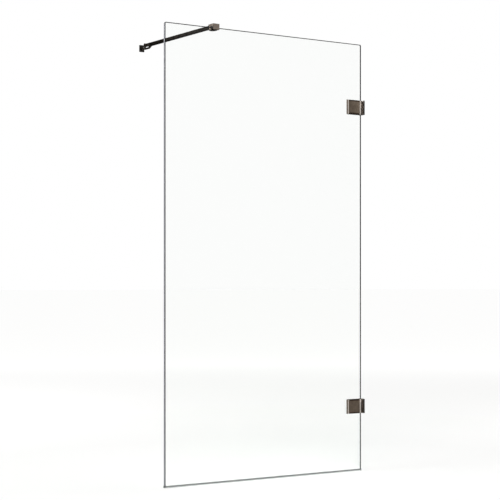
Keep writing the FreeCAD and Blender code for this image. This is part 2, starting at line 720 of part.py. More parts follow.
def make_lock_screws():
    """Grub screws that fix the bar on its two spigots, flush under the bar."""
    low = "(-sizes.bar_diameter / 2 + sizes.screw_sink)"
    screws = [grub_screw(f"bar_lock_screw_{index}", "z", (ZERO, place), low, LOCK_TIP,
                         "sizes.lock_screw / 2", "sizes.socket_medium", False)
              for index, place in enumerate(LOCK_PLACES)]
    at_arm(group("bar_lock_screws", *screws), "bar_lock_screws")


def make_wall_fork():
    """Fork at the wall end: the upper prong carries on the line of the bar, the lower one hangs below it."""
    body = new_body("wall_fork")
    half = "sizes.fork_wide / 2"
    slot_start = f"({FORK_SLOT_END} + sizes.fork_slot_slant)"
    low_start = f"({slot_start} + sizes.fork_lower_prong)"
    outline = [
        (BAR_END, "sizes.fork_top"),
        (WALL_PIVOT, "sizes.fork_top"),
        (WALL_PIVOT, "-sizes.fork_slot_top"),
        (FORK_SLOT_END, "-sizes.fork_slot_top"),
        (slot_start, FORK_SLOT_BOTTOM),
        (WALL_PIVOT, FORK_SLOT_BOTTOM),
        (WALL_PIVOT, FORK_BOTTOM),
        (low_start, FORK_BOTTOM),
        (f"{low_start} - sizes.fork_taper", "-sizes.fork_top"),
        (BAR_END, "-sizes.fork_top"),
    ]
    pad(body, "x", "fork_side", f"-{half}", half, draw_outline, outline)
    eye = [(ZERO, WALL_PIVOT)]
    pad(body, "z", "upper_eye", "-sizes.fork_slot_top", "sizes.fork_top", draw_circles, eye, half)
    pad(body, "z", "lower_eye", FORK_BOTTOM, FORK_SLOT_BOTTOM, draw_circles, eye, half)
    pad(body, "y", "fork_collar", BAR_END, f"{BAR_END} + sizes.collar",
        draw_circles, [(ZERO, ZERO)], "sizes.bar_diameter / 2")
    pad(body, "y", "fork_spigot", f"{BAR_END} - sizes.spigot_long", BAR_END,
        draw_circles, [(ZERO, ZERO)], SPIGOT_RADIUS)
    pocket(body, "z", "fork_bore", FORK_BOTTOM, "sizes.fork_top",
           draw_circles, eye, "sizes.pivot_screw / 2 + sizes.thread_gap")
    pocket(body, "z", "fork_lock_hole", "-sizes.bar_diameter / 2", "sizes.bar_diameter / 2",
           draw_circles, [(ZERO, LOCK_PLACES[1])], "sizes.lock_screw / 2 + sizes.thread_gap")
    at_arm(body, "wall_fork")


def make_wall_pivot():
    """Cap screw through the fork, and the nylon washers above and below the flange's ear."""
    centre = (ZERO, WALL_PIVOT)
    head_top = "(sizes.fork_top + sizes.pivot_head_tall)"
    shank = rod("pivot_shank", "z", centre, f"{FORK_BOTTOM} + sizes.screw_sink", "sizes.fork_top",
                "sizes.pivot_screw / 2")
    head = rod("pivot_head", "z", centre, "sizes.fork_top", head_top, "sizes.pivot_head / 2")
    recess = hexagon("pivot_socket", "z", centre, f"{head_top} - sizes.socket_deep", head_top,
                     "sizes.socket_medium")
    at_arm(cut("wall_pivot_screw", fuse("pivot_blank", shank, head), recess), "wall_pivot_screw")
    washers = washer_pair("fork_washer", centre, EAR_HEIGHT, f"{EAR_HALF} + sizes.swivel_gap",
                          "sizes.fork_washer", "sizes.fork_wide / 2 - sizes.screw_sink", PIVOT_BORE)
    at_arm(washers, "fork_washers")


def make_wall_flange():
    """Small cover with an ear for the fork, hollow at the back so that it slips over the base plate."""
    body = new_body("wall_flange")
    half = "sizes.flange_wide / 2"
    tall = "sizes.flange_tall / 2"
    cover = pad(body, "y", "flange_cover", FLANGE_FACE, "sizes.wall_distance",
                draw_rectangle, (f"-{half}", half), (f"{EAR_HEIGHT} - {tall}", f"{EAR_HEIGHT} + {tall}"))
    face = read(FLANGE_FACE)
    rims = edges_where(cover, lambda point: abs(point.y - face) < SAME_PLACE)
    soften(body, "Fillet", "flange_rims", cover, rims, "sizes.flange_edge_round")
    ear = "sizes.fork_wide / 2"
    levels = (f"{EAR_HEIGHT} - {EAR_HALF}", f"{EAR_HEIGHT} + {EAR_HALF}")
    pad(body, "z", "flange_ear", *levels, draw_rectangle, (f"-{ear}", ear), (WALL_PIVOT, RECESS_FLOOR))
    pad(body, "z", "flange_ear_eye", *levels, draw_circles, [(ZERO, WALL_PIVOT)], ear)
    pocket(body, "z", "flange_ear_bore", *levels, draw_circles, [(ZERO, WALL_PIVOT)], PIVOT_BORE)
    recess_half = "(sizes.base_wide / 2 + sizes.recess_gap)"
    recess_tall = "(sizes.base_tall / 2 + sizes.recess_gap)"
    pocket(body, "y", "flange_recess", RECESS_FLOOR, "sizes.wall_distance",
           draw_rectangle, (f"-{recess_half}", recess_half),
           (f"{EAR_HEIGHT} - {recess_tall}", f"{EAR_HEIGHT} + {recess_tall}"))
    pocket(body, "z", "flange_grub_hole", f"{EAR_HEIGHT} - {tall}", f"{EAR_HEIGHT} - {recess_tall}",
           draw_circles, [(ZERO, f"({BASE_FACE} + sizes.wall_distance) / 2")],
           "sizes.flange_grub / 2 + sizes.thread_gap")
    at_arm(body, "wall_flange")


def make_wall_base():
    """Base plate that is screwed to the wall, and the grub screw that holds the flange on it."""
    body = new_body("wall_base_plate_body")
    half = "sizes.base_wide / 2"
    tall = "sizes.base_tall / 2"
    pad(body, "y", "base_plate", BASE_FACE, "sizes.wall_distance",
        draw_rectangle, (f"-{half}", half), (f"{EAR_HEIGHT} - {tall}", f"{EAR_HEIGHT} + {tall}"))
    holes = [(ZERO, f"{EAR_HEIGHT} + {side} * sizes.base_hole_spacing / 2") for side in (-1, 1)]
    pocket(body, "y", "base_holes", BASE_FACE, "sizes.wall_distance",
           draw_circles, holes, "sizes.base_hole / 2")
    sinks = [cone(f"base_sink_{index}", "y", hole, BASE_FACE,
                  f"{BASE_FACE} + sizes.base_hole_sink / 2 - sizes.base_hole / 2",
                  "sizes.base_hole_sink / 2", "sizes.base_hole / 2") for index, hole in enumerate(holes)]
    at_arm(cut("wall_base_plate", body, *sinks), "wall_base_plate")
    grub = grub_screw("flange_grub_screw", "z", (ZERO, f"({BASE_FACE} + sizes.wall_distance) / 2"),
                      f"{EAR_HEIGHT} - sizes.flange_tall / 2", f"{EAR_HEIGHT} - {tall}",
                      "sizes.flange_grub / 2", "sizes.socket_small", False)
    at_arm(grub, "flange_grub_screw")


# ---------------------------------------------------------------------------------------------------------
# The whole screen
# ---------------------------------------------------------------------------------------------------------
make_glass_panel()
make_bottom_seal()
for side, bracket_height in BRACKETS.items():
    make_wall_bracket(side, bracket_height)
    make_front_plate(side, bracket_height)
    make_pads(side, bracket_height)
    make_glass_bushes(side, bracket_height)
    make_clamp_screws(side, bracket_height)
make_arm_clamp()
make_clamp_liner()
make_clamp_fasteners()
make_swivel()
make_arm_tongue()
make_stabiliser_bar()
make_lock_screws()
make_wall_fork()
make_wall_pivot()
make_wall_flange()
make_wall_base()
doc.recompute()

for item in doc.Objects:
    if "Invalid" in item.State or "Error" in item.State:
        raise ValueError(f"{item.Label} failed: {item.State}")
for piece in parts:
    if piece.Shape.isNull() or not piece.Shape.isValid():
        raise ValueError(f"{piece.Label} has no valid shape")

os.makedirs("parts", exist_ok=True)
for piece in parts:
    piece.Shape.exportStep(f"parts/{piece.Label}.step")
    print(piece.Label, len(piece.Shape.Solids), round(piece.Shape.Volume, 1))
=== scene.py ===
"""Looks of a frameless bath screen: glass, clear seal, two bevelled wall brackets and a swivelling arm.

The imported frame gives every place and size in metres. +X runs along the glass to the brackets, +Y to the wall
that the arm reaches, +Z is up, and the origin is under the middle of the glass.
"""

import logging
import math
from collections.abc import Iterable
from dataclasses import dataclass
from enum import Enum

import bmesh
import bpy
from mathutils import Matrix, Vector


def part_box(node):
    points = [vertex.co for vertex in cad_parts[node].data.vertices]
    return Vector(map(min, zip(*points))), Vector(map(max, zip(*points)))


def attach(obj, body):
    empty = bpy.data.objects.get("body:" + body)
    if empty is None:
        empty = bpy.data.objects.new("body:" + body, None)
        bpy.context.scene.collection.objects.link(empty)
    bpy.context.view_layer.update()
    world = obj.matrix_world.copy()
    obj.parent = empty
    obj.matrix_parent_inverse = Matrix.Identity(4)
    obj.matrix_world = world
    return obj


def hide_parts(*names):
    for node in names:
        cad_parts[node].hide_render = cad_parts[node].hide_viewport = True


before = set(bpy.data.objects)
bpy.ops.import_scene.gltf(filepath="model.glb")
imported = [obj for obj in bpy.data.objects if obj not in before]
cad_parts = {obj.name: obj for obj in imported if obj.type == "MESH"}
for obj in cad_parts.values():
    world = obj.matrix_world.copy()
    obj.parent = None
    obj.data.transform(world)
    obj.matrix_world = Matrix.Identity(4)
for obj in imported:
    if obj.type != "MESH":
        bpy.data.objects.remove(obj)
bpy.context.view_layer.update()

MM = 0.001

# Edges that turn by more than the first angle are eased, and by more than the second are shaded sharp.
# Triangles that turn by less than the third are joined to one flat face.
SHARP_ANGLE = math.radians(25)
SMOOTH_ANGLE = math.radians(32)
FLAT_ANGLE = math.radians(0.5)
EASE_STRIPS = 2

# Vertices nearer than the first are one vertex, and a cut goes through a vertex nearer than the second.
WELD_DISTANCE = 1e-6
CUT_DISTANCE = 1e-7

# Noise values seldom leave this range.
NOISE_LOW = 0.3
NOISE_HIGH = 0.7

# Numbers of the colour sockets of the Mix node, whose sockets for numbers have the same names.
MIX_FIRST_COLOUR = 6
MIX_SECOND_COLOUR = 7
MIX_COLOUR = 2

Tree = bpy.types.NodeTree
Socket = bpy.types.NodeSocket
BMesh = bmesh.types.BMesh
Pair = tuple[float, float]
Triple = tuple[float, float, float]
log = logging.getLogger("bath_screen")


class Body(Enum):
    """Bodies of the frame that pieces ride on."""

    SCREEN = "screen"
    ARM = "arm"
    FLANGE = "wall_flange"


class Slot(Enum):
    """Material slots of the record."""

    GLASS = "clear_glass"
    CLEAR = "clear_seal"
    BRONZE = "bronze_finish"
    DARK = "dark_bar_finish"
    STEEL = "stainless"
    BLACK = "black_screws"
    NYLON = "nylon"
    RUBBER = "black_rubber"


class Level(Enum):
    """The two brackets, by their place on the glass."""

    UPPER = "upper"
    LOWER = "lower"


# ---------------------------------------------------------------------------------------------------------
# Colours and nodes
# ---------------------------------------------------------------------------------------------------------
def linear(code: str) -> tuple[float, float, float, float]:
    """Turn an sRGB hex colour to linear red, green, blue and alpha, by the curve of the sRGB standard.

    Args:
        code: Six hex digits, with or without a leading #.

    Returns:
        The colour in linear light, with an alpha of 1.
    """
    digits = code.lstrip("#")
    channels = []
    for start in (0, 2, 4):
        value = int(digits[start:start + 2], 16) / 255
        channels.append(value / 12.92 if value <= 0.04045 else ((value + 0.055) / 1.055) ** 2.4)
    return (*channels, 1.0)


def add_node(tree: Tree, kind: str, inputs: dict | None = None, **settings: object) -> bpy.types.Node:
    """Add a node with its settings, values and links.

    Args:
        tree: Node tree to add to.
        kind: Type name of the node.
        inputs: Values or output sockets for input sockets, by name or number.
        settings: Attributes of the node.

    Returns:
        The new node.
    """
    node = tree.nodes.new(kind)
    for name, value in settings.items():
        setattr(node, name, value)
    for key, value in (inputs or {}).items():
        if isinstance(value, Socket):
            tree.links.new(value, node.inputs[key])
        else:
            node.inputs[key].default_value = value
    return node


def object_place(tree: Tree) -> Socket:
    """Socket with the place on the piece in metres."""
    return add_node(tree, "ShaderNodeTexCoord").outputs["Object"]


def stretched_noise(tree: Tree, cell_mm: Triple, detail: float = 2) -> Socket:
    """Noise whose cells have a real size along each axis.

    Args:
        tree: Node tree to add to.
        cell_mm: Size of a cell along X, Y and Z in millimetres.
        detail: Number of finer layers.

    Returns:
        The noise's value socket.
    """
    scale = tuple(1 / (size * MM) for size in cell_mm)
    mapping = add_node(tree, "ShaderNodeMapping", {"Vector": object_place(tree), "Scale": scale})
    noise = add_node(tree, "ShaderNodeTexNoise", {
        "Vector": mapping.outputs[0],
        "Scale": 1.0,
        "Detail": detail,
    })
    return noise.outputs["Fac"]


def spread(tree: Tree, noise: Socket, low: float, high: float) -> Socket:
    """Let a value follow a noise from low to high.

    Args:
        tree: Node tree to add to.
        noise: Noise socket.
        low: Value at the noise's usual low.
        high: Value at the noise's usual high.

    Returns:
        The value's socket.
    """
    mapped = add_node(tree, "ShaderNodeMapRange", {
        "Value": noise,
        "From Min": NOISE_LOW,
        "From Max": NOISE_HIGH,
        "To Min": low,
        "To Max": high,
    })
    return mapped.outputs["Result"]


def two_tone(tree: Tree, share: Socket, first: str, second: str) -> Socket:
    """Let a colour run between two tones.

    Args:
        tree: Node tree to add to.
        share: Share of the second tone.
        first: The first tone in sRGB hex.
        second: The second tone in sRGB hex.

    Returns:
        The colour's socket.
    """
    mixed = add_node(tree, "ShaderNodeMix", {
        "Factor": share,
        MIX_FIRST_COLOUR: linear(first),
        MIX_SECOND_COLOUR: linear(second),
    }, data_type="RGBA")
    return mixed.outputs[MIX_COLOUR]


def seen_directly(tree: Tree, value: float | Socket) -> Socket:
    """A value for rays from the camera, a mirror-like surface or clear glass, and 0 for light on the object.

    Args:
        tree: Node tree to add to.
        value: Value for those rays.

    Returns:
        The value's socket.
    """
    rays = add_node(tree, "ShaderNodeLightPath").outputs
    seen = rays["Is Camera Ray"]
    for kind in ("Is Glossy Ray", "Is Transmission Ray"):
        seen = add_node(tree, "ShaderNodeMath", {0: seen, 1: rays[kind]}, operation="MAXIMUM").outputs[0]
    return add_node(tree, "ShaderNodeMath", {0: seen, 1: value}, operation="MULTIPLY").outputs[0]


# ---------------------------------------------------------------------------------------------------------
# Finishes
# ---------------------------------------------------------------------------------------------------------
@dataclass(frozen=True)
class Finish:
    """A finish that is built once and then shared by its pieces."""

    name: str

    def material(self) -> bpy.types.Material:
        """Material of this finish, built at its first use."""
        return bpy.data.materials.get(self.name) or self.build()

    def build(self) -> bpy.types.Material:
        """Build a material round the shader.

        Returns:
            The new material.
        """
        material = bpy.data.materials.new(self.name)
        material.use_nodes = True
        tree = material.node_tree
        tree.nodes.clear()
        add_node(tree, "ShaderNodeOutputMaterial", {"Surface": self.shader(tree)})
        return material

    def shader(self, tree: Tree) -> Socket:
        """Shader of the surface, which each kind of finish builds in its own way."""
        raise NotImplementedError


@dataclass(frozen=True)
class BrushedMetal(Finish):
    """Metal brushed along one direction, with slow clouds of tone, as a thin coloured coat has.

    The brush lines are drawn several times as wide as real ones, so that they show close up.
    """

    light: str
    dark: str
    roughness: Pair
    grain_mm: Triple
    edge_shine: float = 1.0
    grain_detail: float = 3
    grain_depth_mm: float = 0.02
    cloud_mm: float = 14

    def shader(self, tree: Tree) -> Socket:
        """Metal whose tone is half from its brush lines and half from its clouds.

        Args:
            tree: Node tree to add to.

        Returns:
            The shader's socket.
        """
        grain = stretched_noise(tree, self.grain_mm, self.grain_detail)
        cloud = stretched_noise(tree, (self.cloud_mm,) * 3)
        lines, clouds = (spread(tree, noise, 0, 0.5) for noise in (grain, cloud))
        tone = add_node(tree, "ShaderNodeMath", {0: lines, 1: clouds}, operation="ADD")
        relief = add_node(tree, "ShaderNodeBump", {"Height": grain, "Distance": self.grain_depth_mm * MM})
        metal = add_node(tree, "ShaderNodeBsdfPrincipled", {
            "Base Color": two_tone(tree, tone.outputs[0], self.dark, self.light),
            "Metallic": 1.0,
            "Roughness": spread(tree, grain, *self.roughness),
            "Specular Tint": (self.edge_shine, self.edge_shine, self.edge_shine, 1),
            "Normal": relief.outputs["Normal"],
        })
        return metal.outputs[0]


@dataclass(frozen=True)
class MouldedPlastic(Finish):
    """Moulded plastic with a grained skin.

    The grain is drawn coarser than a real one, so that it shows close up.
    """

    light: str
    dark: str
    roughness: Pair
    transmission: float = 0.0
    ior: float = 1.5
    grain_mm: float = 0.6
    grain_depth_mm: float = 0.01
    grains_per_cloud: float = 12

    def shader(self, tree: Tree) -> Socket:
        """Plastic whose tone follows slow clouds and whose roughness follows the grain.

        Args:
            tree: Node tree to add to.

        Returns:
            The shader's socket.
        """
        grain = stretched_noise(tree, (self.grain_mm,) * 3)
        cloud = stretched_noise(tree, (self.grain_mm * self.grains_per_cloud,) * 3)
        relief = add_node(tree, "ShaderNodeBump", {"Height": grain, "Distance": self.grain_depth_mm * MM})
        plastic = add_node(tree, "ShaderNodeBsdfPrincipled", {
            "Base Color": two_tone(tree, spread(tree, cloud, 0, 1), self.dark, self.light),
            "Roughness": spread(tree, grain, *self.roughness),
            "Transmission Weight": self.transmission,
            "IOR": self.ior,
            "Normal": relief.outputs["Normal"],
        })
        return plastic.outputs[0]


@dataclass(frozen=True)
class FloatGlass(Finish):
    """Toughened float glass: clear, with the faint waviness that the toughening oven leaves."""

    tint: str
    shadow: str
    ior: float = 1.52
    wave_mm: float = 160
    wave_detail: float = 0
    wave_depth_mm: float = 0.01

    def shader(self, tree: Tree) -> Socket:
        """Smooth clear glass, which lets light through as a pale filter where it casts a shadow.

        Args:
            tree: Node tree to add to.

        Returns:
            The shader's socket.
        """
        wave = stretched_noise(tree, (self.wave_mm,) * 3, self.wave_detail)
        relief = add_node(tree, "ShaderNodeBump", {"Height": wave, "Distance": self.wave_depth_mm * MM})
        clear = add_node(tree, "ShaderNodeBsdfPrincipled", {
            "Base Color": linear(self.tint),
            "Roughness": 0.0,
            "Transmission Weight": 1.0,
            "IOR": self.ior,
            "Normal": relief.outputs["Normal"],
        })
        pale = add_node(tree, "ShaderNodeBsdfTransparent", {"Color": linear(self.shadow)})
        in_shadow = add_node(tree, "ShaderNodeLightPath").outputs["Is Shadow Ray"]
        both = add_node(tree, "ShaderNodeMixShader", {0: in_shadow, 1: clear.outputs[0], 2: pale.outputs[0]})
        return both.outputs[0]


@dataclass(frozen=True)
class GroundEdge(Finish):
    """Ground glass edge: a painted tone seen from outside, which stands in for the light that the clear edge
    shows, with painted shade towards both rims.

    Where the sheet shows it from within, it is painted nearly black, as painted shade for light that has
    crossed the width of the sheet. The marks of the grinding are drawn coarser than real ones, so that they
    show close up.
    """

    middle: str
    rim_shade: str
    roughness: Pair
    inside_shade: str = "#020303"
    shine: float = 0.12
    # The tone turns from the middle's to the painted shade of the rim between these distances from the middle
    # of the sheet.
    rim_start_mm: float = 0.9
    rim_end_mm: float = 1.8
    grind_mm: float = 0.8
    grind_detail: float = 1
    grind_depth_mm: float = 0.01

    def shader(self, tree: Tree) -> Socket:
        """Dull surface seen from outside with painted shade at its rims, and a matt dark one of painted shade
        seen from within the glass.

        Args:
            tree: Node tree to add to.

        Returns:
            The shader's socket.
        """
        grind = stretched_noise(tree, (self.grind_mm,) * 3, self.grind_detail)
        across = add_node(tree, "ShaderNodeSeparateXYZ", {0: object_place(tree)}).outputs["Y"]
        depth = add_node(tree, "ShaderNodeMath", {0: across}, operation="ABSOLUTE")
        rim_shade_share = add_node(tree, "ShaderNodeMapRange", {
            "Value": depth.outputs[0],
            "From Min": self.rim_start_mm * MM,
            "From Max": self.rim_end_mm * MM,
        })
        relief = add_node(tree, "ShaderNodeBump", {"Height": grind, "Distance": self.grind_depth_mm * MM})
        outer = add_node(tree, "ShaderNodeBsdfPrincipled", {
            "Base Color": two_tone(tree, rim_shade_share.outputs["Result"], self.middle, self.rim_shade),
            "Roughness": spread(tree, grind, *self.roughness),
            "Specular IOR Level": self.shine,
            "Normal": relief.outputs["Normal"],
        })
        inner_shade = add_node(tree, "ShaderNodeBsdfDiffuse", {"Color": linear(self.inside_shade)})
        within = add_node(tree, "ShaderNodeNewGeometry").outputs["Backfacing"]
        both = add_node(tree, "ShaderNodeMixShader", {0: within, 1: outer.outputs[0], 2: inner_shade.outputs[0]})
        return both.outputs[0]


# Bronze coat on brass, brushed level: warm brown grey with fine lines and slow darker clouds.
BRONZE = BrushedMetal("brushed_bronze_coat", light="#62574C", dark="#4A4138", roughness=(0.36, 0.48),
                      grain_mm=(9, 9, 0.5), edge_shine=0.6)
# The same coat painted paler for the front and the flanks of the clamp, as painted light on the faces that the
# lamps light.
PAINTED_LIT_BRONZE = BrushedMetal("painted_lit_bronze_coat", light="#7C7269", dark="#675D55", roughness=(0.36, 0.48),
                           grain_mm=(9, 9, 0.5), edge_shine=0.6)
# The same coat, paler and smoother, as a painted highlight on the plate's step and the legs' flanks.
PAINTED_HIGHLIGHT_BRONZE = BrushedMetal("painted_highlight_bronze_coat", light="#C2BBB5", dark="#A39B94", roughness=(0.24, 0.36),
                             grain_mm=(6, 6, 0.4), edge_shine=0.8)
# The same coat, nearly black brown, as painted shade on the plate's bevels and cut sides.
BEVEL_SHADE_BRONZE = BrushedMetal("painted_shade_bevel_bronze_coat", light="#372E27", dark="#1F1914",
                            roughness=(0.32, 0.44), grain_mm=(6, 6, 0.4), edge_shine=0.3)
# Near-black bronze coat on tube and thick pieces, with drawn lines along the bar. On the clamp block's other
# faces, beside its paler front and flanks, it stands as painted shade.
DARK_BRONZE_AND_SHADE = BrushedMetal("near_black_bronze_coat_and_painted_shade", light="#393633", dark="#1F1D1B", roughness=(0.34, 0.46),
                           grain_mm=(0.6, 14, 0.6), edge_shine=0.3)
# Stainless steel, turned or stamped: pale neutral grey with fine marks.
STAINLESS = BrushedMetal("turned_stainless_steel", light="#C9C8C4", dark="#A7A6A3", roughness=(0.22, 0.34),
                         grain_mm=(2, 2, 0.3))
# Blackened alloy steel of socket screws: dark and a little oily.
BLACK_STEEL = BrushedMetal("blackened_screw_steel", light="#2B2B2C", dark="#18181A", roughness=(0.24, 0.36),
                           grain_mm=(1.5, 1.5, 0.4), edge_shine=0.4)
# Natural nylon: milky off-white with a dull moulded skin.
NYLON = MouldedPlastic("natural_nylon", light="#EDEAE2", dark="#DCD8CE", roughness=(0.41, 0.49))
# Black moulded rubber: nearly matt.
RUBBER = MouldedPlastic("black_moulded_rubber", light="#1C1C1C", dark="#0F0F0F", roughness=(0.66, 0.74))
# Clear flexible vinyl: see-through, slightly grey, softly glossy.
CLEAR_VINYL = MouldedPlastic("clear_flexible_vinyl", light="#F2F5F4", dark="#E6EAE9", roughness=(0.16, 0.24),
                             transmission=0.85, ior=1.53)
# Clear toughened float glass: a trace of green, and clear shadows.
GLASS = FloatGlass("clear_float_glass", tint="#FDFEFD", shadow="#EDF3F1")
# Polished flat edge of the sheet: a pale line between two dark ones, painted light and shade for the look of
# the clear edge.
GLASS_EDGE = GroundEdge("glass_edge_painted_light_and_shade", middle="#C9CAD2", rim_shade="#050607", roughness=(0.22, 0.38))
# Ground arris along both rims of each edge: a fine dark line of painted shade.
GLASS_ARRIS = GroundEdge("glass_arris_painted_shade", middle="#08090B", rim_shade="#08090B", roughness=(0.42, 0.58))


# ---------------------------------------------------------------------------------------------------------
# Meshes and pieces
# ---------------------------------------------------------------------------------------------------------
def ease_edges(bm: BMesh, size: float) -> None:
    """Round the sharp edges of a mesh a little.

    Args:
        bm: Mesh to change.
        size: Width of the rounding in metres.
    """
    sharp = [edge for edge in bm.edges if edge.is_manifold and edge.calc_face_angle() > SHARP_ANGLE]
    bmesh.ops.bevel(bm, geom=sharp, offset=size, offset_type="OFFSET", segments=EASE_STRIPS, profile=0.5,
                    affect="EDGES", clamp_overlap=True, loop_slide=False, material=-1)


def node_copy(node: str) -> BMesh:
    """Copy a node's mesh and weld its vertices.

    Args:
        node: Name of the node.

    Returns:
        The new mesh.
    """
    bm = bmesh.new()
    bm.from_mesh(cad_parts[node].data)
    bmesh.ops.remove_doubles(bm, verts=bm.verts, dist=WELD_DISTANCE)
    return bm


def eased_copy(node: str, ease: float) -> BMesh:
    """Copy a node's mesh, join its triangles to flat faces and round its sharp edges.

    Args:
        node: Name of the node.
        ease: Width of the rounding in metres.

    Returns:
        The new mesh.
    """
    bm = node_copy(node)
    bmesh.ops.dissolve_limit(bm, angle_limit=FLAT_ANGLE, use_dissolve_boundaries=False, verts=bm.verts,
                             edges=bm.edges)
    ease_edges(bm, ease)
    return bm


def new_object(bm: BMesh, name: str) -> bpy.types.Object:
    """Put a mesh in the scene as an object.

    Args:
        bm: Mesh, placed in the frame. It is freed.
        name: Name of the object and its mesh.

    Returns:
        The new object.
    """
    mesh = bpy.data.meshes.new(name)
    bm.to_mesh(mesh)
    bm.free()
    thing = bpy.data.objects.new(name, mesh)
    bpy.context.scene.collection.objects.link(thing)
    return thing


def make_piece(bm: BMesh, name: str, finishes: Iterable[Finish], body: Body,
               node: str) -> bpy.types.Object:
    """Turn a mesh into a finished piece of the screen.

    Args:
        bm: Closed mesh, placed in the frame. It is freed.
        name: Name of the piece.
        finishes: Finishes of its material slots, in order.
        body: Body that it rides on.
        node: Node of the frame that it stands for.

    Returns:
        The new object.
    """
    bmesh.ops.recalc_face_normals(bm, faces=bm.faces)
    piece = new_object(bm, name)
    mesh = piece.data
    mesh.shade_smooth()
    mesh.set_sharp_from_angle(angle=SMOOTH_ANGLE)
    for finish in finishes:
        mesh.materials.append(finish.material())
    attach(piece, body.value)
    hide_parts(node)
    log.info("%s: %d faces on %s", name, len(mesh.polygons), body.value)
    return piece


@dataclass(frozen=True)
class PlainPiece:
    """A piece that has its node's shape with eased edges, and one finish."""

    node: str
    name: str
    ease: float
    finish: Finish
    slot: Slot

    def build(self, body: Body) -> None:
        """Build and dress the piece, riding on a body."""
        make_piece(eased_copy(self.node, self.ease), self.name, (self.finish,), body, self.node)


# ---------------------------------------------------------------------------------------------------------
# Glass and seal
# ---------------------------------------------------------------------------------------------------------
@dataclass
class GlassSheet:
    """Clear sheet with rounded corners, ground arrises and four bored holes."""

    # A face whose normal has a larger share along Y is a flat, and one with next to none is an edge.
    flat_limit: float = 0.99

    def build(self) -> None:
        """Give the flats, the edges and the arrises of the sheet a finish each."""
        sheet = node_copy("glass_panel")
        sheet.normal_update()
        flat, edge, arris = range(3)
        for face in sheet.faces:
            across = abs(face.normal.y)
            if across > self.flat_limit:
                face.material_index = flat
            elif across < 1 - self.flat_limit:
                face.material_index = edge
            else:
                face.material_index = arris
        finishes = (GLASS, GLASS_EDGE, GLASS_ARRIS)
        piece = make_piece(sheet, "glass_sheet", finishes, Body.SCREEN, "glass_panel")
        for face in piece.data.polygons:
            face.use_smooth = face.material_index != flat


@dataclass
class BottomSeal:
    """Clear channel pushed onto the bottom edge of the glass."""

    wall: float = 1 * MM
    base: float = 2 * MM
    ease: float = 0.3 * MM

    def build(self) -> None:
        """Build the channel from a slab whose top is sunk between two lips."""
        low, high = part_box("bottom_seal")
        slab = Matrix.Translation((low + high) / 2) @ Matrix.Diagonal((*(high - low), 1))
        bm = bmesh.new()
        bmesh.ops.create_cube(bm, size=1, matrix=slab)
        for cut in (low.y + self.wall, high.y - self.wall):
            bmesh.ops.bisect_plane(bm, geom=bm.verts[:] + bm.edges[:] + bm.faces[:], dist=CUT_DISTANCE,
                                   plane_co=(0, cut, 0), plane_no=(0, 1, 0))
        top = max(bm.faces, key=lambda face: face.calc_center_median().z - abs(face.calc_center_median().y))
        sunk, = bmesh.ops.extrude_discrete_faces(bm, faces=[top])["faces"]
        bmesh.ops.translate(bm, verts=sunk.verts, vec=(0, 0, low.z + self.base - high.z))
        ease_edges(bm, self.ease)
        make_piece(bm, "clear_bottom_seal", (CLEAR_VINYL,), Body.SCREEN, "bottom_seal")


# ---------------------------------------------------------------------------------------------------------
# Brackets
# ---------------------------------------------------------------------------------------------------------
@dataclass
class WallBracket:
    """One bracket: legs, bevelled front plate, pads, bushes and screws."""

    level: Level
    ease: float = 0.3 * MM
    small_ease: float = 0.1 * MM
    # A face with this share of its normal towards one side faces that side.
    flat_limit: float = 0.98
    # The panel's shallow end bevels have more than this share towards the front, and less than this along Z.
    shallow_limit: float = 0.85
    upright_limit: float = 0.01
    # The panel's flat faces lie within this depth of the very front.
    panel_depth: float = 0.4 * MM

    def build(self) -> None:
        """Build and dress every piece of the bracket."""
        self.build_legs()
        self.build_plate()
        copies = (
            ("front_pad", "clear_front_pad", CLEAR_VINYL, Slot.CLEAR),
            ("rear_pad", "clear_rear_pad", CLEAR_VINYL, Slot.CLEAR),
            ("glass_bushes", "hole_bushes", NYLON, Slot.NYLON),
            ("clamp_screws", "countersunk_screws", STAINLESS, Slot.STEEL),
        )
        for node, name, finish, slot in copies:
            PlainPiece(self.own(node), self.own(name), self.small_ease, finish, slot).build(Body.SCREEN)

    def own(self, name: str) -> str:
        """Name of a node or a piece of this bracket."""
        return f"{self.level.value}_{name}"

    def build_legs(self) -> None:
        """Build the clamp leg and wall leg: near-black all over, with a painted highlight on the flanks that
        face along -X, beside the glass.
        """
        node = self.own("wall_bracket")
        legs = eased_copy(node, self.ease)
        dark, painted_highlight = range(2)
        # Flanks facing -X get the paler coat as a painted highlight; the rest keeps the near-black coat.
        for face in legs.faces:
            face.material_index = painted_highlight if face.normal.x < -self.flat_limit else dark
        finishes = (DARK_BRONZE_AND_SHADE, PAINTED_HIGHLIGHT_BRONZE)
        make_piece(legs, self.own("bracket_legs"), finishes, Body.SCREEN, node)

    def build_plate(self) -> None:
        """Build the front plate: brushed panel and shallow bevels, painted shade on the other bevels, and a
        painted highlight on the step.
        """
        node = self.own("front_plate")
        plate = eased_copy(node, self.ease)
        front = min(vertex.co.y for vertex in plate.verts)
        panel, bevel, step = range(3)
        for face in plate.faces:
            towards = -face.normal.y
            facing = towards > self.flat_limit
            raised = face.calc_center_median().y < front + self.panel_depth
            sloping = self.shallow_limit < towards < self.flat_limit
            upright = abs(face.normal.z) < self.upright_limit
            # The step takes the painted highlight, and the other bevels and sides painted shade.
            if (sloping and upright) or (facing and raised):
                face.material_index = panel
            elif facing:
                face.material_index = step
            else:
                face.material_index = bevel
        finishes = (BRONZE, BEVEL_SHADE_BRONZE, PAINTED_HIGHLIGHT_BRONZE)
        make_piece(plate, self.own("bevelled_plate"), finishes, Body.SCREEN, node)


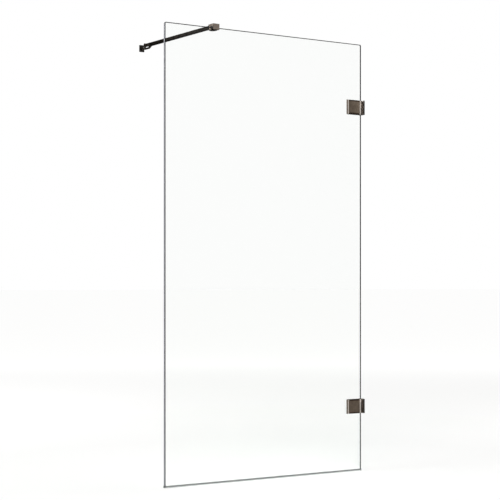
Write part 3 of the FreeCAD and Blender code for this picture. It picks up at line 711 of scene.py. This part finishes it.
# ---------------------------------------------------------------------------------------------------------
# Arm
# ---------------------------------------------------------------------------------------------------------
@dataclass
class ArmClamp:
    """Clamp on the top edge of the glass, with its liner, plate and screws."""

    ease: float = 0.25 * MM
    small_ease: float = 0.1 * MM
    # A face with this share of its normal towards one side faces that side.
    flat_limit: float = 0.98

    def build(self) -> None:
        """Build and dress every piece of the clamp."""
        self.build_block()
        copies = (
            ("arm_clamp_liner", "rubber_channel", RUBBER, Slot.RUBBER),
            ("clamp_pressure_plate", "glass_pressure_plate", STAINLESS, Slot.STEEL),
            ("clamp_grub_screws", "clamp_grub_pair", BLACK_STEEL, Slot.BLACK),
            ("swivel_screw", "clamp_swivel_screw", BLACK_STEEL, Slot.BLACK),
            ("swivel_washers", "tongue_washers", NYLON, Slot.NYLON),
        )
        for node, name, finish, slot in copies:
            PlainPiece(node, name, self.small_ease, finish, slot).build(Body.SCREEN)

    def build_block(self) -> None:
        """Build the block: paler on its front and its flanks as painted light, near-black on the rest as
        painted shade.
        """
        block = eased_copy("arm_clamp", self.ease)
        painted_lit, dark = range(2)
        # The front and flanks get the paler coat as painted light, and the rest, with the rounded back, the
        # near-black coat as painted shade.
        for face in block.faces:
            flank = abs(face.normal.x) > self.flat_limit
            front = face.normal.y < -self.flat_limit
            face.material_index = painted_lit if flank or front else dark
        make_piece(block, "clamp_block", (PAINTED_LIT_BRONZE, DARK_BRONZE_AND_SHADE), Body.SCREEN, "arm_clamp")


@dataclass
class StabiliserArm:
    """Bar with its tongue, fork and screws."""

    ease: float = 0.3 * MM
    small_ease: float = 0.1 * MM

    def build(self) -> None:
        """Build and dress every piece of the arm."""
        pieces = (
            PlainPiece("arm_tongue", "swivel_tongue", self.ease, DARK_BRONZE_AND_SHADE, Slot.DARK),
            PlainPiece("stabiliser_bar", "drawn_tube", self.small_ease, DARK_BRONZE_AND_SHADE, Slot.DARK),
            PlainPiece("wall_fork", "bar_fork", self.ease, DARK_BRONZE_AND_SHADE, Slot.DARK),
            PlainPiece("bar_lock_screws", "tube_lock_screws", self.small_ease, BLACK_STEEL, Slot.BLACK),
            PlainPiece("wall_pivot_screw", "low_head_pivot_screw", self.small_ease, BLACK_STEEL, Slot.BLACK),
            PlainPiece("fork_washers", "ear_washers", self.small_ease, NYLON, Slot.NYLON),
        )
        for piece in pieces:
            piece.build(Body.ARM)


@dataclass
class WallEnd:
    """Flange at the wall with its hidden plate and screw."""

    ease: float = 0.3 * MM
    small_ease: float = 0.1 * MM

    def build(self) -> None:
        """Build and dress every piece of the flange."""
        pieces = (
            PlainPiece("wall_flange", "eared_flange", self.ease, DARK_BRONZE_AND_SHADE, Slot.DARK),
            PlainPiece("wall_base_plate", "screwed_base_plate", self.ease, STAINLESS, Slot.STEEL),
            PlainPiece("flange_grub_screw", "flange_set_screw", self.small_ease, BLACK_STEEL, Slot.BLACK),
        )
        for piece in pieces:
            piece.build(Body.FLANGE)


# ---------------------------------------------------------------------------------------------------------
# Studio
# ---------------------------------------------------------------------------------------------------------
@dataclass(frozen=True)
class PaleFloor(Finish):
    """Matt white floor: it keeps a soft shadow near the screen and meets the white background far off."""

    colour: str = "#F4F4F3"
    # The glow far off, which grows from nothing between these distances from the middle of the floor.
    far_glow: float = 0.42
    near: float = 1.2
    far: float = 7.0

    def shader(self, tree: Tree) -> Socket:
        """Matt surface with a glow that grows with distance and gives the object no light.

        Args:
            tree: Node tree to add to.

        Returns:
            The shader's socket.
        """
        matt = add_node(tree, "ShaderNodeBsdfDiffuse", {"Color": linear(self.colour)})
        away = add_node(tree, "ShaderNodeVectorMath", {0: object_place(tree)}, operation="LENGTH")
        lift = add_node(tree, "ShaderNodeMapRange", {
            "Value": away.outputs["Value"],
            "From Min": self.near,
            "From Max": self.far,
            "To Min": 0.0,
            "To Max": self.far_glow,
        })
        glow = add_node(tree, "ShaderNodeEmission", {"Strength": seen_directly(tree, lift.outputs["Result"])})
        both = add_node(tree, "ShaderNodeAddShader", {0: matt.outputs[0], 1: glow.outputs[0]})
        return both.outputs[0]


@dataclass(frozen=True)
class SoftLamp:
    """Square soft light that points at the middle of the screen."""

    name: str
    place: Triple
    size: float
    power: float


@dataclass
class Studio:
    """Floor, background, lamps and camera."""

    floor_size: float = 400
    floor_cells: int = 4
    sky: str = "#FFFFFF"
    # Strength of the background where it is seen, and of the light that it gives the object.
    background: float = 1.0
    fill: float = 0.62
    # Its strength seen through the glass, which makes up for the light that the sheet mirrors away.
    through_glass: float = 1.07
    # Its strength mirrored in the glass, on dark flags that fade in between these shares of a ray along Y.
    mirrored_in_glass: float = 0.1
    flag_start: float = 0.3
    flag_end: float = 0.7
    lamps: tuple[SoftLamp, ...] = (
        SoftLamp("key_lamp", (-3.2, -3.4, 3.6), size=2.2, power=136),
        SoftLamp("side_lamp", (3.8, -1.2, 1.9), size=2.0, power=45),
        SoftLamp("back_lamp", (-1.5, 3.6, 3.2), size=2.4, power=63),
    )
    aim: Triple = (0, 0.1, 0.8)
    # The camera was fitted to the corners of the glass, the arm and the brackets. It stands level.
    camera_place: Triple = (-2.7221, -3.9750, 0.6508)
    camera_tilt_deg: float = 90
    camera_heading_deg: float = -33.728
    focal_pixels: float = 1428.7
    horizon_pixel: float = 285.75
    picture_pixels: float = 500
    sensor_mm: float = 36

    def build(self) -> None:
        """Build the whole studio."""
        self.build_floor()
        self.build_background()
        for lamp in self.lamps:
            self.build_lamp(lamp)
        self.build_camera()

    def build_floor(self) -> None:
        """Lay the floor under the screen."""
        bm = bmesh.new()
        cells = self.floor_cells
        bmesh.ops.create_grid(bm, x_segments=cells, y_segments=cells, size=self.floor_size / 2)
        floor = new_object(bm, "studio_floor")
        floor.data.materials.append(PaleFloor("matt_white_floor").material())

    def build_background(self) -> None:
        """Give soft even light from all round, white where it is seen, also through the glass.

        What the glass mirrors has a strength of its own, as if dark flags stood before and behind the sheet.
        """
        world = bpy.data.worlds.new("studio_background")
        bpy.context.scene.world = world
        world.use_nodes = True
        tree = world.node_tree
        tree.nodes.clear()
        rays = add_node(tree, "ShaderNodeLightPath").outputs
        extra = seen_directly(tree, self.background - self.fill)
        plain = add_node(tree, "ShaderNodeMath", {0: extra, 1: self.fill}, operation="ADD").outputs[0]
        glass = add_node(tree, "ShaderNodeMix", {
            "Factor": rays["Glossy Depth"],
            "A": self.through_glass,
            "B": self.flags(tree),
        }).outputs[0]
        strength = add_node(tree, "ShaderNodeMix", {
            "Factor": rays["Is Singular Ray"],
            "A": plain,
            "B": glass,
        }).outputs[0]
        light = add_node(tree, "ShaderNodeBackground", {"Color": linear(self.sky), "Strength": strength})
        add_node(tree, "ShaderNodeOutputWorld", {"Surface": light.outputs[0]})

    def flags(self, tree: Tree) -> Socket:
        """Strength of what the glass mirrors: full beside the sheet, low before and behind it.

        Args:
            tree: Node tree to add to.

        Returns:
            The strength's socket.
        """
        towards = add_node(tree, "ShaderNodeTexCoord").outputs["Generated"]
        along = add_node(tree, "ShaderNodeSeparateXYZ", {0: towards}).outputs["Y"]
        facing = add_node(tree, "ShaderNodeMath", {0: along}, operation="ABSOLUTE")
        flagged = add_node(tree, "ShaderNodeMapRange", {
            "Value": facing.outputs[0],
            "From Min": self.flag_start,
            "From Max": self.flag_end,
            "To Min": self.background,
            "To Max": self.mirrored_in_glass,
        })
        return flagged.outputs["Result"]

    def build_lamp(self, lamp: SoftLamp) -> None:
        """Hang one soft lamp.

        Args:
            lamp: Its name, place, size and power.
        """
        data = bpy.data.lights.new(lamp.name, "AREA")
        data.shape = "SQUARE"
        data.size = lamp.size
        data.energy = lamp.power
        holder = bpy.data.objects.new(lamp.name, data)
        holder.location = lamp.place
        holder.rotation_euler = (Vector(self.aim) - Vector(lamp.place)).to_track_quat("-Z", "Y").to_euler()
        bpy.context.scene.collection.objects.link(holder)

    def build_camera(self) -> None:
        """Set the camera at the viewing angle: level, with the horizon below the middle of the picture."""
        data = bpy.data.cameras.new("camera")
        data.sensor_width = self.sensor_mm
        data.lens = self.focal_pixels / self.picture_pixels * self.sensor_mm
        data.shift_y = (self.horizon_pixel - self.picture_pixels / 2) / self.picture_pixels
        camera = bpy.data.objects.new("camera", data)
        camera.location = self.camera_place
        camera.rotation_euler = (math.radians(self.camera_tilt_deg), 0, math.radians(self.camera_heading_deg))
        bpy.context.scene.collection.objects.link(camera)
        bpy.context.scene.camera = camera


def main() -> None:
    """Build the studio and every sub-assembly in order."""
    logging.basicConfig(level=logging.INFO, format="%(message)s")
    bpy.context.scene.view_settings.view_transform = "Standard"
    Studio().build()
    brackets = (WallBracket(level) for level in Level)
    for part in (GlassSheet(), BottomSeal(), *brackets, ArmClamp(), StabiliserArm(), WallEnd()):
        part.build()


if __name__ == "__main__":
    main()
